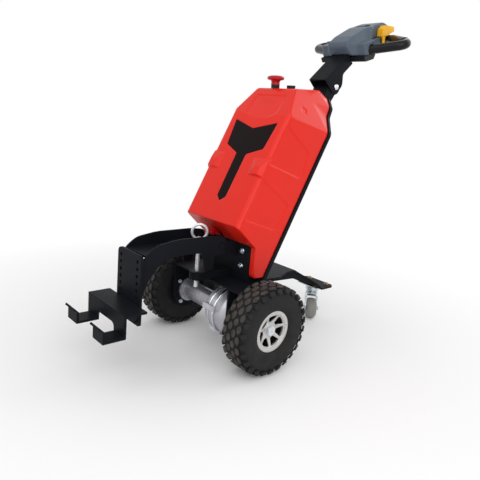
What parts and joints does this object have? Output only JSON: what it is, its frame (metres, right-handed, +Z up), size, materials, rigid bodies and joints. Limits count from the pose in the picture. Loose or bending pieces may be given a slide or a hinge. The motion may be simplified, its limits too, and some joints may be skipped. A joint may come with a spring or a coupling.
{
  "type": "walk-behind electric mini tug",
  "caption": "Walk-behind electric tug: leaning red cover on a two-wheel drive axle, rear swivel caster, tiller with loop handle, arched front arm with a height-set hook.",
  "frame": {"origin": "on the floor at the middle of the overall length and width", "axes": "+Z up; the hook points to -Y and the operator walks at +Y; X runs along the drive axle, with the gear housing at +X"},
  "size_m": [0.511, 1.1007, 1.066],
  "materials": {
    "tyre": "black block-tread rubber, slightly worn",
    "rim": "silver painted alloy rim",
    "aluminium": "cast and machined, satin",
    "zinc": "zinc plated",
    "frame_black": "black powder coat, fine texture",
    "motor_black": "black enamel with a grey band",
    "battery": "plain dark block",
    "cover_red": "gloss red moulded shell",
    "inset_black": "black moulded inset",
    "stop_red": "red mushroom button",
    "small_black": "black moulded plastic",
    "slate": "slate grey moulded plastic",
    "grip": "black grip over a steel tube",
    "yellow": "yellow moulded levers",
    "spring": "red brown coated wire",
    "caster_tyre": "grey rubber tread"
  },
  "bodies": {
    "chassis": {"axle_tube": "aluminium", "gear_housing": "aluminium", "drive_motor": "motor_black", "left_hanger": "frame_black", "right_hanger": "frame_black", "base_plate": "frame_black", "front_plate": "frame_black", "side_plates": "frame_black", "back_plate": "frame_black", "battery": "battery", "cover": "cover_red", "front_inset": "inset_black", "stop_collar": "small_black", "stop_button": "stop_red", "charge_cap": "small_black", "release_lever": "stop_red", "neck": "frame_black", "hitch_arm": "frame_black", "hitch_plate": "frame_black", "hitch_bolts": "zinc", "hook": "frame_black", "arm_lugs": "frame_black", "arm_bolts": "frame_black", "lock_tongue": "frame_black", "lock_pin": "zinc", "arm_spring": "spring", "caster_tongue": "frame_black", "caster_mount": "zinc"},
    "left_wheel": {"left_tyre": "tyre", "left_rim": "rim", "left_shaft": "zinc"},
    "right_wheel": {"right_tyre": "tyre", "right_rim": "rim", "right_shaft": "zinc"},
    "tiller": {"tiller_arm": "frame_black", "head_shell": "slate", "head_clamp": "small_black", "handle_bars": "grip", "thumb_levers": "yellow", "hinge_pin": "zinc"},
    "caster_swivel": {"caster_fork": "zinc", "caster_axle": "zinc"},
    "caster_roll": {"caster_wheel": "caster_tyre"}
  },
  "joints": [
    {"name": "left_wheel_spin", "type": "hinge", "parent": "chassis", "child": "left_wheel", "pos_m": [-0.213, -0.1, 0.132], "axis": [1, 0, 0], "continuous": true},
    {"name": "right_wheel_spin", "type": "hinge", "parent": "chassis", "child": "right_wheel", "pos_m": [0.213, -0.1, 0.132], "axis": [1, 0, 0], "continuous": true},
    {"name": "tiller_tilt", "type": "hinge", "parent": "chassis", "child": "tiller", "pos_m": [0, 0.304, 0.83], "axis": [1, 0, 0], "range_deg": [-35, 22]},
    {"name": "caster_turn", "type": "hinge", "parent": "chassis", "child": "caster_swivel", "pos_m": [0, 0.364, 0.115], "axis": [0, 0, 1], "continuous": true},
    {"name": "caster_spin", "type": "hinge", "parent": "caster_swivel", "child": "caster_roll", "pos_m": [0.01755, 0.34763, 0.0375], "axis": [0.682, 0.7314, 0], "continuous": true}
  ]
}
